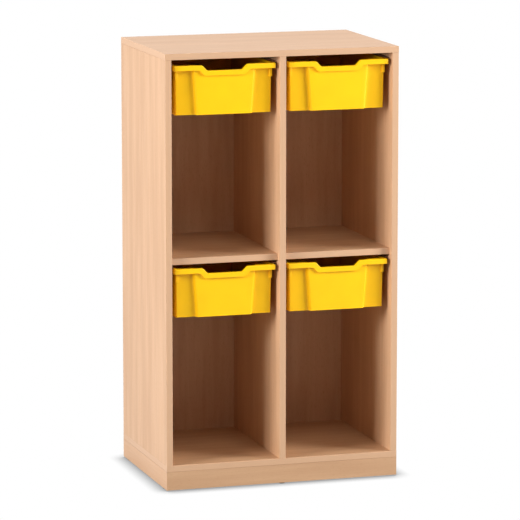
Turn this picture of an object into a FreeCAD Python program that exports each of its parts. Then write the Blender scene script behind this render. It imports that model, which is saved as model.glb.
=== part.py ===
import FreeCAD, Part
import math
import operator
import os
from types import SimpleNamespace

import Sketcher

# A school bag shelf: two columns and two rows of open pockets in beech decor board, with a sliding tray at
# the top of each pocket. X runs to the right, Y from front to rear and Z up from the floor. The origin is on
# the floor, under the middle of the cabinet.

# Driving dimensions in millimetres: name, number and meaning
DIMENSIONS = [
    ("board", "19", "thickness of the boards"),
    ("band", "2", "thickness of the edge bands"),
    ("band_round", "1", "rounding along the outer edges of a band"),
    ("plinth_height", "55", "height of the plinth boards"),
    ("glide_height", "3", "height of a glide under the plinth"),
    ("glide_radius", "9", "radius of a glide"),
    ("glide_inset", "45", "from the cabinet's front or rear to a side glide"),
    ("pin_radius", "1.5", "radius of a glide's pin"),
    ("pin_length", "12", "length of a glide's pin above its disc"),
    ("block_side", "30", "side of a plinth corner block"),
    ("block_height", "34", "height of a plinth corner block"),
    ("lower_bag_room", "440", "height of a lower pocket below its tray"),
    ("upper_bag_room", "423", "height of an upper pocket below its tray"),
    ("shelf_recess", "20", "from the front of the cabinet back to the front of a shelf"),
    ("back", "8", "thickness of the back panel"),
    ("back_inset", "12", "from the rear of the cabinet to the rear of the back panel"),
    ("groove_depth", "8", "depth of the grooves that hold the back panel"),
    ("groove_play", "0.1", "room on each face of the back panel in its groove"),
    ("groove_room", "1", "room at the free edges of the back panel in its groove"),
    ("dowel_radius", "4", "radius of a dowel"),
    ("dowel_length", "35", "length of a dowel"),
    ("dowel_in_face", "12", "length of a dowel that sits in the face of a board"),
    ("dowel_play", "0.05", "room round a dowel"),
    ("dowel_margin", "70", "from the end of a joint to its first dowel"),
    ("dowel_stagger", "30", "step between the dowels of the two shelves in the divider"),
    ("glue_room", "1", "room past the end of a dowel or a screw"),
    ("thread_play", "0.05", "room round the shank of a screw"),
    ("head_height", "2", "height of a screw head"),
    ("runner_screw_radius", "1.75", "shank radius of a runner screw"),
    ("runner_screw_head", "3.5", "head radius of a runner screw"),
    ("runner_screw_room", "1.5", "from the tip of a runner screw to the middle of its board"),
    ("back_screw_radius", "2", "shank radius of a back screw"),
    ("back_screw_head", "4", "head radius of a back screw"),
    ("back_screw_reach", "27", "depth of a back screw in the divider or a shelf"),
    ("back_screw_margin", "80", "from the end of a divider or shelf edge to its first back screw"),
    ("block_screw_radius", "2.25", "shank radius of a corner block screw"),
    ("block_screw_head", "4.5", "head radius of a corner block screw"),
    ("block_screw_reach", "11", "depth of a corner block screw in the bottom panel"),
    ("tray_width", "312", "width of a tray over its rim"),
    ("tray_length", "427", "length of a tray over its rim"),
    ("tray_height", "147", "height of a tray"),
    ("tray_recess", "9", "from the front of the cabinet back to the front of a tray's rim"),
    ("side_gap", "9.75", "from a tray's rim to the upright beside it"),
    ("rear_room", "34", "from the rear of a tray's rim to the back panel"),
    ("upper_gap", "19", "from the top panel down to the rim of an upper tray"),
    ("lower_gap", "12", "from a shelf down to the rim of a lower tray"),
    ("tray_wall", "2", "wall thickness of a tray"),
    ("tray_draft", "2", "narrowing of each wall of a tray from rim to floor"),
    ("tray_round", "4", "rounding of the upright corners of a tray"),
    ("rim_drop", "15", "height of the turned-down rim"),
    ("rim_side", "8", "overhang of the rim at the sides and the rear"),
    ("rim_front", "18", "overhang of the rim ahead of the front wall's flanks"),
    ("rim_round", "4", "rounding of the corners of the rim"),
    ("panel_forward", "11", "step of the raised front panel ahead of the flanks"),
    ("panel_run", "6", "width of the slope at each side of the raised panel"),
    ("panel_top", "185", "width of the raised panel at the rim"),
    ("panel_foot", "162", "width of the raised panel at the floor"),
    ("notch_depth", "16", "depth of the finger notch"),
    ("notch_top", "138", "width of the finger notch at the top of the rim"),
    ("notch_foot", "108", "width of the finger notch at its lowest stretch"),
    ("notch_spread", "8", "step outwards of the rim's lower edge beside the notch"),
    ("tab_height", "26", "height of the tabs under the front corners of the rim"),
    ("tab_width", "8", "width of the tabs"),
    ("tab_depth", "6", "length of the tabs from front to rear"),
    ("tab_out", "0.5", "step of the tabs out past the side walls"),
    ("tab_forward", "4", "step of the tabs ahead of the flanks"),
    ("bead_height", "3", "height of the bead round the foot of a tray"),
    ("bead_out", "0.8", "step of the bead past the wall"),
    ("runner_wall", "2", "wall thickness of a runner"),
    ("runner_inset", "30", "from the front of the cabinet to the front of a runner"),
    ("runner_end_room", "20", "from the rear of a runner to the back panel"),
    ("runner_clear", "3.5", "room between a runner's ledge and the wall of a tray"),
    ("runner_cover", "3", "reach of a runner's upper lip over the rim"),
    ("runner_lift", "1", "room above the rim in a runner"),
    ("runner_screw_inset", "20", "from the end of a runner to its screw"),
]

AXES = "xyz"
SIGNS = {"+": operator.add, "-": operator.sub, "*": operator.mul, "/": operator.truediv}
BAR_TURNS = {
    "x": FreeCAD.Rotation(FreeCAD.Vector(0, 1, 0), 90),
    "y": FreeCAD.Rotation(FreeCAD.Vector(1, 0, 0), -90),
    "z": FreeCAD.Rotation(),
}
LEFT = -1
RIGHT = 1
NEARLY_ALONG = 0.98


class Size:
    """A length worked out from the sheet: its number now, and the expression that keeps it true."""

    def __init__(self, number, text):
        self.number = number
        self.text = text

    def __add__(self, other):
        return worked_out(self, "+", other)

    def __radd__(self, other):
        return worked_out(other, "+", self)

    def __sub__(self, other):
        return worked_out(self, "-", other)

    def __rsub__(self, other):
        return worked_out(other, "-", self)

    def __mul__(self, other):
        return worked_out(self, "*", other)

    def __rmul__(self, other):
        return worked_out(other, "*", self)

    def __truediv__(self, other):
        return worked_out(self, "/", other)

    def __neg__(self):
        return worked_out(0, "-", self)


def as_size(value):
    return value if isinstance(value, Size) else Size(value, repr(value))


def worked_out(first, sign, second):
    first = as_size(first)
    second = as_size(second)
    return Size(SIGNS[sign](first.number, second.number), f"({first.text} {sign} {second.text})")


def make_sheet():
    """Fills the sheet and gives each of its dimensions back as a Size under its name."""
    sheet = doc.addObject("Spreadsheet::Sheet", "Dimensions")
    for row, (name, number, meaning) in enumerate(DIMENSIONS, start=1):
        sheet.set(f"A{row}", meaning)
        sheet.set(f"B{row}", number)
        sheet.setAlias(f"B{row}", name)
    doc.recompute()
    return SimpleNamespace(
        **{name: Size(float(sheet.get(name)), f"Dimensions.{name}") for name, number, meaning in DIMENSIONS}
    )


doc = FreeCAD.newDocument("school_bag_shelf")
dim = make_sheet()

# Sizes and places worked out from the driving dimensions
pocket = dim.tray_width + 2 * dim.side_gap
width = 2 * pocket + 3 * dim.board
depth = dim.tray_recess + dim.tray_length + dim.rear_room + dim.back + dim.back_inset
middle = as_size(0)
left = -width / 2
right = width / 2
front = -depth / 2
rear = depth / 2
back_rear = rear - dim.back_inset
back_face = back_rear - dim.back
plinth_top = dim.glide_height + dim.plinth_height
floor_top = plinth_top + dim.board
shelf_under = floor_top + dim.lower_bag_room + dim.tray_height + dim.lower_gap
shelf_top = shelf_under + dim.board
shelf_middle = shelf_under + dim.board / 2
roof_under = shelf_top + dim.upper_bag_room + dim.tray_height + dim.upper_gap
side_height = roof_under - floor_top
shelf_front = front + dim.shelf_recess
upright_middles = [left + dim.board / 2, middle, right - dim.board / 2]
dowel_rows = [front + dim.dowel_margin, middle, rear - dim.dowel_margin]
column_middles = {"left": -(dim.board + pocket) / 2, "right": (dim.board + pocket) / 2}
rim_heights = {"upper": roof_under - dim.upper_gap, "lower": shelf_under - dim.lower_gap}
runner_front = front + dim.runner_inset
runner_rear = back_face - dim.runner_end_room
runner_screw_rows = [runner_front + dim.runner_screw_inset, runner_rear - dim.runner_screw_inset]
runner_screw_reach = dim.board / 2 - dim.runner_screw_room

nodes = []


def bind(obj, prop, size):
    obj.setExpression(prop, as_size(size).text)


def place(obj, point):
    for axis, size in zip(AXES, point):
        bind(obj, f"Placement.Base.{axis}", size)


def moved(point, axis, step):
    """The point, a step further along one axis."""
    return tuple(size + step if name == axis else size for name, size in zip(AXES, point))


def node(obj, label):
    """Marks an object as a finished sub-part."""
    obj.Label = label
    nodes.append(obj)
    return obj


def block(name, corner, sizes):
    box = doc.addObject("Part::Box", name)
    for prop, size in zip(("Length", "Width", "Height"), sizes):
        bind(box, prop, size)
    place(box, corner)
    return box


def bar(name, axis, start, length, radius):
    """A round bar that runs from its start along the positive axis."""
    cylinder = doc.addObject("Part::Cylinder", name)
    bind(cylinder, "Radius", radius)
    bind(cylinder, "Height", length)
    cylinder.Placement.Rotation = BAR_TURNS[axis]
    place(cylinder, start)
    return cylinder


def group(name, members):
    compound = doc.addObject("Part::Compound", name)
    compound.Links = members
    return compound


def cut(name, base, tools):
    result = doc.addObject("Part::Cut", name)
    result.Base = base
    result.Tool = group(f"{name}_cuts", tools)
    return result


def fused(name, base, tool):
    result = doc.addObject("Part::Fuse", name)
    result.Base = base
    result.Tool = tool
    return result


def origin_plane(body, role):
    return next(plane for plane in body.Origin.OriginFeatures if plane.Role == role)


def stepped(corner, other, step):
    """The point a step from a corner towards another corner that lies straight along X or Y from it."""
    return tuple(
        here + step * math.copysign(1, there.number - here.number) if here.number != there.number else here
        for here, there in zip(corner, other)
    )


def with_bends(corners):
    """The points of an outline, two for each corner that has a radius, and the radius of each arc.

    A corner with a radius joins a line along X and a line along Y; the outline runs counterclockwise.
    """
    points = []
    bends = {}
    plain = [(as_size(corner[0]), as_size(corner[1])) for corner in corners]
    for index, corner in enumerate(corners):
        if len(corner) == 2:
            points.append(plain[index])
            continue
        bends[len(points)] = corner[2]
        points.append(stepped(plain[index], plain[index - 1], corner[2]))
        points.append(stepped(plain[index], plain[(index + 1) % len(plain)], corner[2]))
    return points, bends


def bend(start, end, radius):
    """A counterclockwise quarter circle between two points."""
    chord = end - start
    inward = FreeCAD.Vector(-chord.y, chord.x, 0)
    inward.normalize()
    centre = (start + end) / 2 + inward * math.sqrt(radius**2 - (chord.Length / 2) ** 2)
    return Part.Arc(start, centre - inward * radius, end)


def outline(body, name, role, corners, height=0):
    """A closed sketch of lines and corner arcs; two bound distances hold each point to the origin."""
    sketch = body.newObject("Sketcher::SketchObject", name)
    sketch.AttachmentSupport = (origin_plane(body, role), [""])
    sketch.MapMode = "FlatFace"
    bind(sketch, "AttachmentOffset.Base.z", height)
    points, bends = with_bends(corners)
    places = [FreeCAD.Vector(x.number, y.number, 0) for x, y in points]
    count = len(points)
    for index, start in enumerate(places):
        end = places[(index + 1) % count]
        if index in bends:
            sketch.addGeometry(bend(start, end, bends[index].number), False)
        else:
            sketch.addGeometry(Part.LineSegment(start, end), False)
    for index in range(count):
        sketch.addConstraint(Sketcher.Constraint("Coincident", index, 2, (index + 1) % count, 1))
    for index, point in enumerate(points):
        for kind, size in zip(("DistanceX", "DistanceY"), point):
            held = sketch.addConstraint(Sketcher.Constraint(kind, -1, 1, index, 1, size.number))
            bind(sketch, f"Constraints[{held}]", size)
    for index, radius in bends.items():
        held = sketch.addConstraint(Sketcher.Constraint("Radius", index, radius.number))
        bind(sketch, f"Constraints[{held}]", radius)
    return sketch


def new_body(name):
    return doc.addObject("PartDesign::Body", name)


def feature(body, kind, sketch, length, towards_normal):
    """A pad or a pocket of a sketch, by its length; a pocket by itself runs against the sketch's normal."""
    result = body.newObject(f"PartDesign::{kind}", f"{sketch.Name}_{kind.lower()}")
    result.Profile = sketch
    bind(result, "Length", length)
    result.Reversed = towards_normal == (kind == "Pocket")
    return result


def loft(body, kind, lower, upper):
    result = body.newObject(f"PartDesign::{kind}", f"{lower.Name}_loft")
    result.Profile = lower
    result.Sections = [upper]
    result.Ruled = True
    return result


def rounded(body, base, radius, picked):
    """Rounds those edges of the feature that the given test picks."""
    doc.recompute()
    names = [f"Edge{index}" for index, edge in enumerate(base.Shape.Edges, start=1) if picked(edge)]
    result = body.newObject("PartDesign::Fillet", f"{base.Name}_round")
    result.Base = (base, names)
    bind(result, "Radius", radius)
    return result


def is_along(edge, axis):
    """True for an edge whose ends lie nearly in line with an axis."""
    run = edge.Vertexes[-1].Point - edge.Vertexes[0].Point
    return run.Length > 0 and abs(run[AXES.index(axis)]) > NEARLY_ALONG * run.Length


def screw(name, axis, seat, way, shank, radius, head):
    """A screw with its head on its seat and its shank along the axis, forwards or back by its way."""
    shank_start = seat if way > 0 else moved(seat, axis, -shank)
    head_start = moved(seat, axis, -dim.head_height) if way > 0 else seat
    stem = bar(f"{name}_shank", axis, shank_start, shank, radius)
    cap = bar(f"{name}_head", axis, head_start, dim.head_height, head)
    return fused(name, stem, cap)


# Edge bands


def make_band(label, length_axis, face, corner, length):
    """An edge band that lies on a board's edge, rounded along the two long edges of its outer face.

    The face names the axis that the band looks along and its sign; the corner is the band's least point.
    """
    axis, way = face
    across = next(name for name in AXES if name not in (axis, length_axis))
    extents = {axis: dim.band, length_axis: length, across: dim.board}
    body = new_body(label)
    floor = [(0, 0), (extents["x"], 0), (extents["x"], extents["y"]), (0, extents["y"])]
    strip = feature(body, "Pad", outline(body, f"{label}_floor", "XY_Plane", floor), extents["z"], True)
    depth_axis = AXES.index(axis)

    def is_outer(edge):
        half_way = dim.band.number / 2
        return is_along(edge, length_axis) and way * (edge.CenterOfMass[depth_axis] - half_way) > 0

    rounded(body, strip, dim.band_round, is_outer)
    place(body, corner)
    return node(body, label)


def make_flat_bands(name, under):
    """The four bands round a full-width board that lies flat with its underside at the given height."""
    between = depth - 2 * dim.band
    make_band(f"{name}_band_front", "x", ("y", LEFT), (left, front, under), width)
    make_band(f"{name}_band_rear", "x", ("y", RIGHT), (left, rear - dim.band, under), width)
    make_band(f"{name}_band_left", "y", ("x", LEFT), (left, front + dim.band, under), between)
    make_band(f"{name}_band_right", "y", ("x", RIGHT), (right - dim.band, front + dim.band, under), between)


# Dowels and the holes they sit in


def make_upright_dowels(label, under):
    """The dowels between the uprights and a flat board; the given height is where their lower ends are."""
    dowels = [
        bar(f"{label}_{index}_{row}", "z", (x, y, under), dim.dowel_length, dim.dowel_radius)
        for index, x in enumerate(upright_middles)
        for row, y in enumerate(dowel_rows)
    ]
    return node(group(label, dowels), label)


def upright_holes(name, middles, under, reach):
    """Upright dowel holes on the given middle lines, from the given height up by the given reach."""
    radius = dim.dowel_radius + dim.dowel_play
    return [
        bar(f"{name}_hole_{index}_{row}", "z", (x, y, under), reach, radius)
        for index, x in enumerate(middles)
        for row, y in enumerate(dowel_rows)
    ]


def shelf_dowel_rows(side):
    """Where a shelf's dowels lie from front to rear; those of the right shelf are a step further back."""
    step = dim.dowel_stagger if side == "right" else as_size(0)
    return [shelf_front + dim.dowel_margin + step, back_face - dim.dowel_margin - dim.dowel_stagger + step]


def shelf_ends(side):
    """The two end faces of a shelf, each as its X and the way that its dowels point into the upright."""
    column = column_middles[side]
    return [(column - pocket / 2, LEFT), (column + pocket / 2, RIGHT)]


def across_bars(name, face, way, rows, in_face, in_shelf, radius):
    """Bars through a shelf's end face: so far into the upright and so far into the shelf."""
    start = face - (in_face if way == LEFT else in_shelf)
    return [
        bar(f"{name}_{row}", "x", (start, y, shelf_middle), in_face + in_shelf, radius)
        for row, y in enumerate(rows)
    ]


def make_shelf_dowels():
    dowels = []
    for side in column_middles:
        for face, way in shelf_ends(side):
            name = f"shelf_dowel_{side}_{'inner' if (way == LEFT) == (side == 'right') else 'outer'}"
            in_shelf = dim.dowel_length - dim.dowel_in_face
            rows = shelf_dowel_rows(side)
            dowels += across_bars(name, face, way, rows, dim.dowel_in_face, in_shelf, dim.dowel_radius)
    return node(group("shelf_dowels", dowels), "shelf_dowels")


def shelf_hole_bars(name, side, ends):
    """The dowel holes at the given ends of a shelf, cut from both the shelf and the upright beside it."""
    in_shelf = dim.dowel_length - dim.dowel_in_face + dim.glue_room
    radius = dim.dowel_radius + dim.dowel_play
    holes = []
    for face, way in ends:
        rows = shelf_dowel_rows(side)
        holes += across_bars(f"{name}_{way}", face, way, rows, dim.dowel_in_face, in_shelf, radius)
    return holes


# Screws and the holes they sit in


def runner_screw_holes(name, face, way):
    """Pilot holes in an upright for its upper and lower runner's screws; the way points into the board."""
    reach = runner_screw_reach + dim.glue_room
    radius = dim.runner_screw_radius + dim.thread_play
    start = face if way > 0 else face - reach
    return [
        bar(f"{name}_pilot_{level}_{row}", "x", (start, y, rim - dim.rim_drop / 2), reach, radius)
        for level, rim in rim_heights.items()
        for row, y in enumerate(runner_screw_rows)
    ]


def make_runner_screws():
    """Two screws in each runner, with their heads inside the runner's channel."""
    screws = []
    shank = runner_screw_reach + dim.runner_wall
    for side in column_middles:
        for face, way in shelf_ends(side):
            seat_x = face - way * dim.runner_wall
            for level, rim in rim_heights.items():
                for row, y in enumerate(runner_screw_rows):
                    name = f"runner_screw_{side}_{'l' if way == LEFT else 'r'}_{level}_{row}"
                    seat = (seat_x, y, rim - dim.rim_drop / 2)
                    screws.append(
                        screw(name, "x", seat, way, shank, dim.runner_screw_radius, dim.runner_screw_head)
                    )
    return node(group("runner_screws", screws), "runner_screws")


def back_screw_seats():
    """Where the back screws' heads lie on the rear of the back panel, by the piece that they hold."""
    margin = dim.back_screw_margin
    heights = [floor_top + margin, shelf_under - margin, shelf_top + margin, roof_under - margin]
    seats = {"centre_divider": [(middle, back_rear, height) for height in heights]}
    for side, column in column_middles.items():
        reach = pocket / 2 - margin
        seats[f"shelf_{side}"] = [(column + way * reach, back_rear, shelf_middle) for way in (LEFT, RIGHT)]
    return seats


def make_back_screws():
    shank = dim.back_screw_reach + dim.back
    radius = dim.back_screw_radius
    screws = [
        screw(f"back_screw_{held}_{index}", "y", seat, LEFT, shank, radius, dim.back_screw_head)
        for held, seats in back_screw_seats().items()
        for index, seat in enumerate(seats)
    ]
    return node(group("back_screws", screws), "back_screws")


def back_screw_holes(name, held):
    """Holes for one piece's back screws, long enough to be cut from the back panel and from that piece."""
    length = dim.back_screw_reach + dim.glue_room + dim.back
    radius = dim.back_screw_radius + dim.thread_play
    return [
        bar(f"{name}_{held}_hole_{index}", "y", moved(seat, "y", -length), length, radius)
        for index, seat in enumerate(back_screw_seats()[held])
    ]


# Boards


def make_top_panel():
    core = block(
        "top_core",
        (left + dim.band, front + dim.band, roof_under),
        (width - 2 * dim.band, depth - 2 * dim.band, dim.board),
    )
    tools = upright_holes("top", upright_middles, roof_under, dim.dowel_in_face)
    tools.append(flat_groove("top", roof_under))
    node(cut("top_panel", core, tools), "top_panel")
    make_flat_bands("top", roof_under)
    make_upright_dowels("top_dowels", roof_under + dim.dowel_in_face - dim.dowel_length)


def make_bottom_panel():
    core = block(
        "bottom_core",
        (left + dim.band, front + dim.band, plinth_top),
        (width - 2 * dim.band, depth - 2 * dim.band, dim.board),
    )
    hole_floor = floor_top - dim.dowel_in_face
    tools = upright_holes("bottom", upright_middles, hole_floor, dim.dowel_in_face)
    tools.append(flat_groove("bottom", floor_top - dim.groove_depth))
    reach = dim.block_screw_reach + dim.glue_room
    radius = dim.block_screw_radius + dim.thread_play
    for index, (x, y) in enumerate(block_middles()):
        tools.append(bar(f"bottom_pilot_{index}", "z", (x, y, plinth_top), reach, radius))
    node(cut("bottom_panel", core, tools), "bottom_panel")
    make_flat_bands("bottom", plinth_top)
    make_upright_dowels("bottom_dowels", hole_floor)


def flat_groove(name, under):
    """The back panel's groove in a flat board, between the ends of the side panels' own grooves."""
    start = left + dim.board - dim.groove_depth
    return block(
        f"{name}_groove",
        (start, back_face - dim.groove_play, under),
        (-2 * start, dim.back + 2 * dim.groove_play, dim.groove_depth),
    )


def end_holes(name, line):
    """Dowel holes in the lower and upper end of an upright, on its middle line."""
    reach = dim.dowel_length - dim.dowel_in_face + dim.glue_room
    lower = upright_holes(f"{name}_lower", [line], floor_top, reach)
    upper = upright_holes(f"{name}_upper", [line], roof_under - reach, reach)
    return lower + upper


def make_side_panel(side, outer, way):
    """A side panel; the way points from its inner face to its outer face."""
    name = f"side_panel_{side}"
    least = outer if way == LEFT else outer - dim.board
    inner = outer - way * dim.board
    core = block(
        f"{name}_core", (least, front + dim.band, floor_top), (dim.board, depth - 2 * dim.band, side_height)
    )
    groove = block(
        f"{name}_groove",
        (inner - dim.groove_depth if way == LEFT else inner, back_face - dim.groove_play, floor_top),
        (dim.groove_depth, dim.back + 2 * dim.groove_play, side_height),
    )
    tools = end_holes(name, least + dim.board / 2)
    tools.append(groove)
    tools += shelf_hole_bars(f"{name}_shelf", side, [(inner, way)])
    tools += runner_screw_holes(name, inner, way)
    node(cut(name, core, tools), name)
    make_band(f"{name}_band_front", "z", ("y", LEFT), (least, front, floor_top), side_height)
    make_band(f"{name}_band_rear", "z", ("y", RIGHT), (least, rear - dim.band, floor_top), side_height)


def make_divider():
    least = -dim.board / 2
    start = front + dim.band
    core = block("divider_core", (least, start, floor_top), (dim.board, back_face - start, side_height))
    tools = end_holes("divider", middle)
    for side, face, way in (("left", least, RIGHT), ("right", dim.board / 2, LEFT)):
        tools += shelf_hole_bars(f"divider_{side}_shelf", side, [(face, way)])
        tools += runner_screw_holes(f"divider_{side}", face, way)
    tools += back_screw_holes("divider", "centre_divider")
    node(cut("centre_divider", core, tools), "centre_divider")
    make_band("centre_divider_band", "z", ("y", LEFT), (least, front, floor_top), side_height)


def make_shelf(side):
    name = f"shelf_{side}"
    least = column_middles[side] - pocket / 2
    start = shelf_front + dim.band
    core = block(f"{name}_core", (least, start, shelf_under), (pocket, back_face - start, dim.board))
    tools = shelf_hole_bars(name, side, shelf_ends(side))
    tools += back_screw_holes("shelf", name)
    node(cut(name, core, tools), name)
    make_band(f"{name}_band", "x", ("y", LEFT), (least, shelf_front, shelf_under), pocket)


def make_back_panel():
    start = left + dim.board - dim.groove_depth + dim.groove_room
    under = floor_top - dim.groove_depth
    panel = block(
        "back_blank",
        (start, back_face, under),
        (-2 * start, dim.back, side_height + 2 * dim.groove_depth - dim.groove_room),
    )
    holes = [hole for held in back_screw_seats() for hole in back_screw_holes("back", held)]
    node(cut("back_panel", panel, holes), "back_panel")


# Plinth


def block_middles():
    """The middle of each plinth corner block."""
    step = dim.board + dim.block_side / 2
    return [(x, y) for x in (left + step, right - step) for y in (front + step, rear - step)]


def glide_places():
    """The middle of each glide, under the plinth board that its key names."""
    edge = dim.board / 2
    return {
        "front": [(middle, front + edge)],
        "rear": [(middle, rear - edge)],
        "left": [(left + edge, front + dim.glide_inset), (left + edge, rear - dim.glide_inset)],
        "right": [(right - edge, front + dim.glide_inset), (right - edge, rear - dim.glide_inset)],
    }


def make_plinth():
    """Four boards with mitred ends, drilled for the pins of the glides below them."""
    outer = [(left, front), (right, front), (right, rear), (left, rear)]
    step = dim.board
    inner = [(left + step, front + step), (right - step, front + step), (right - step, rear - step),
             (left + step, rear - step)]
    for index, side in enumerate(("front", "right", "rear", "left")):
        after = (index + 1) % len(outer)
        label = f"plinth_{side}"
        body = new_body(f"{label}_board")
        corners = [outer[index], outer[after], inner[after], inner[index]]
        feature(body, "Pad", outline(body, f"{label}_plan", "XY_Plane", corners, dim.glide_height),
                dim.plinth_height, True)
        reach = dim.pin_length + dim.glue_room
        radius = dim.pin_radius + dim.thread_play
        holes = [
            bar(f"{label}_pin_hole_{place_index}", "z", (x, y, dim.glide_height), reach, radius)
            for place_index, (x, y) in enumerate(glide_places()[side])
        ]
        node(cut(label, body, holes), label)


def make_corner_blocks():
    under = plinth_top - dim.block_height
    half = dim.block_side / 2
    blocks = []
    screws = []
    for index, (x, y) in enumerate(block_middles()):
        name = f"corner_block_{index}"
        sizes = (dim.block_side, dim.block_side, dim.block_height)
        blank = block(f"{name}_blank", (x - half, y - half, under), sizes)
        radius = dim.block_screw_radius + dim.thread_play
        hole = bar(f"{name}_hole", "z", (x, y, under), dim.block_height, radius)
        blocks.append(cut(name, blank, [hole]))
        shank = dim.block_height + dim.block_screw_reach
        screws.append(
            screw(f"block_screw_{index}", "z", (x, y, under), RIGHT, shank, dim.block_screw_radius,
                  dim.block_screw_head)
        )
    node(group("plinth_corner_blocks", blocks), "plinth_corner_blocks")
    node(group("plinth_screws", screws), "plinth_screws")


def make_glides():
    glides = []
    for side, places in glide_places().items():
        for index, (x, y) in enumerate(places):
            name = f"glide_{side}_{index}"
            disc = bar(f"{name}_disc", "z", (x, y, as_size(0)), dim.glide_height, dim.glide_radius)
            pin = bar(f"{name}_pin", "z", (x, y, dim.glide_height), dim.pin_length, dim.pin_radius)
            glides.append(fused(name, disc, pin))
    node(group("floor_glides", glides), "floor_glides")


# Runners


def make_runner(label, face, way, rim):
    """A channel on an upright's face that carries one side of a tray's rim; the way points to the tray."""
    wall = dim.runner_wall
    ledge = way * (dim.side_gap + dim.rim_side - dim.runner_clear)
    guide = way * (dim.side_gap + dim.runner_cover)
    ledge_top = rim - dim.rim_drop
    guide_under = rim + dim.runner_lift
    web = way * wall
    section = [
        (0, ledge_top - wall), (ledge, ledge_top - wall), (ledge, ledge_top), (web, ledge_top),
        (web, guide_under), (guide, guide_under), (guide, guide_under + wall), (0, guide_under + wall),
    ]
    body = new_body(f"{label}_channel")
    length = runner_rear - runner_front
    feature(body, "Pad", outline(body, f"{label}_section", "XZ_Plane", section), length, False)
    place(body, (face, runner_front, as_size(0)))
    start = face if way > 0 else face - wall
    radius = dim.runner_screw_radius + dim.thread_play
    holes = [
        bar(f"{label}_hole_{row}", "x", (start, y, rim - dim.rim_drop / 2), wall, radius)
        for row, y in enumerate(runner_screw_rows)
    ]
    node(cut(label, body, holes), label)


# Trays


def tray_outline(level, inset):
    """The plan of a tray's walls at its rim or its foot, set in from the outer face, from front left round.

    The front wall has a raised panel between two flanks, with a slope at each side of the panel.
    """
    draft = dim.tray_draft if level == "foot" else as_size(0)
    panel = (dim.panel_foot if level == "foot" else dim.panel_top) / 2 - inset / 2
    half = dim.tray_width / 2 - dim.rim_side - draft - inset
    flank = dim.rim_front + draft + inset
    raised = flank - dim.panel_forward
    end = dim.tray_length - dim.rim_side - draft - inset
    slope = panel + dim.panel_run
    turn = dim.tray_round - inset
    return [(-half, flank, turn), (-slope, flank), (-panel, raised), (panel, raised), (slope, flank),
            (half, flank, turn), (half, end, turn), (-half, end, turn)]


def make_tray(label, x, rim):
    body = new_body(label)
    wall = dim.tray_wall
    rim_under = dim.tray_height - dim.rim_drop
    half = dim.tray_width / 2
    length = dim.tray_length

    # Walls, drawn from the foot to the rim
    foot = outline(body, f"{label}_foot", "XY_Plane", tray_outline("foot", as_size(0)))
    brim = outline(body, f"{label}_brim", "XY_Plane", tray_outline("rim", as_size(0)), dim.tray_height)
    loft(body, "AdditiveLoft", foot, brim)

    # Bead round the foot
    bead_plan = outline(body, f"{label}_bead", "XY_Plane", tray_outline("foot", -dim.bead_out))
    feature(body, "Pad", bead_plan, dim.bead_height, True)

    # Rim all round
    turn = dim.rim_round
    rim_corners = [(-half, 0, turn), (half, 0, turn), (half, length, turn), (-half, length, turn)]
    rim_plan = outline(body, f"{label}_rim", "XY_Plane", rim_corners, rim_under)
    feature(body, "Pad", rim_plan, dim.rim_drop, True)

    # Dip of the rim's lower edge below the finger notch
    dip_top = dim.notch_top / 2 + dim.notch_spread
    dip_foot = dim.notch_foot / 2 + dim.notch_spread
    dip_under = rim_under - dim.notch_depth
    dip_plan = [(-dip_top, rim_under), (-dip_foot, dip_under), (dip_foot, dip_under), (dip_top, rim_under)]
    dip_depth = dim.rim_front - dim.panel_forward + wall
    feature(body, "Pad", outline(body, f"{label}_dip", "XZ_Plane", dip_plan), dip_depth, False)

    # Tabs under the front corners of the rim
    tab_outer = half - dim.rim_side + dim.tab_out
    tab_front = dim.rim_front - dim.tab_forward
    for way in (LEFT, RIGHT):
        near = way * (tab_outer - dim.tab_width)
        far = way * tab_outer
        tab_plan = [(near, tab_front), (far, tab_front), (far, tab_front + dim.tab_depth),
                    (near, tab_front + dim.tab_depth)]
        name = f"{label}_tab_{'left' if way == LEFT else 'right'}"
        feature(body, "Pad", outline(body, name, "XY_Plane", tab_plan, rim_under), dim.tab_height, False)

    # Hollow under the rim at the flanks, the sides and the rear
    hollow = half - wall
    body_half = half - dim.rim_side
    body_end = length - dim.rim_side
    flank_end = dim.panel_top / 2 + dim.panel_run
    brow = dim.rim_front
    hollow_plan = [
        (-flank_end, wall), (-flank_end, brow), (-body_half, brow), (-body_half, body_end),
        (body_half, body_end), (body_half, brow), (flank_end, brow), (flank_end, wall),
        (hollow, wall), (hollow, length - wall), (-hollow, length - wall), (-hollow, wall),
    ]
    under_rim = outline(body, f"{label}_hollow", "XY_Plane", hollow_plan, rim_under)
    feature(body, "Pocket", under_rim, dim.rim_drop - wall, True)

    # Inside, and the finger notch through the front wall
    floor = outline(body, f"{label}_floor", "XY_Plane", tray_outline("foot", wall), wall)
    mouth = outline(body, f"{label}_mouth", "XY_Plane", tray_outline("rim", wall), dim.tray_height)
    loft(body, "SubtractiveLoft", floor, mouth)
    notch_under = dim.tray_height - dim.notch_depth
    notch_plan = [
        (-dim.notch_top / 2, dim.tray_height), (-dim.notch_foot / 2, notch_under),
        (dim.notch_foot / 2, notch_under), (dim.notch_top / 2, dim.tray_height),
    ]
    notch = outline(body, f"{label}_notch", "XZ_Plane", notch_plan)
    feature(body, "Pocket", notch, dim.rim_front + 2 * wall, False)

    place(body, (x, front + dim.tray_recess, rim - dim.tray_height))
    return node(body, label)


def make_cabinet():
    make_top_panel()
    make_bottom_panel()
    make_side_panel("left", left, LEFT)
    make_side_panel("right", right, RIGHT)
    make_divider()
    for side in column_middles:
        make_shelf(side)
    make_shelf_dowels()
    make_back_panel()
    make_back_screws()
    make_plinth()
    make_corner_blocks()
    make_glides()


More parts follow.
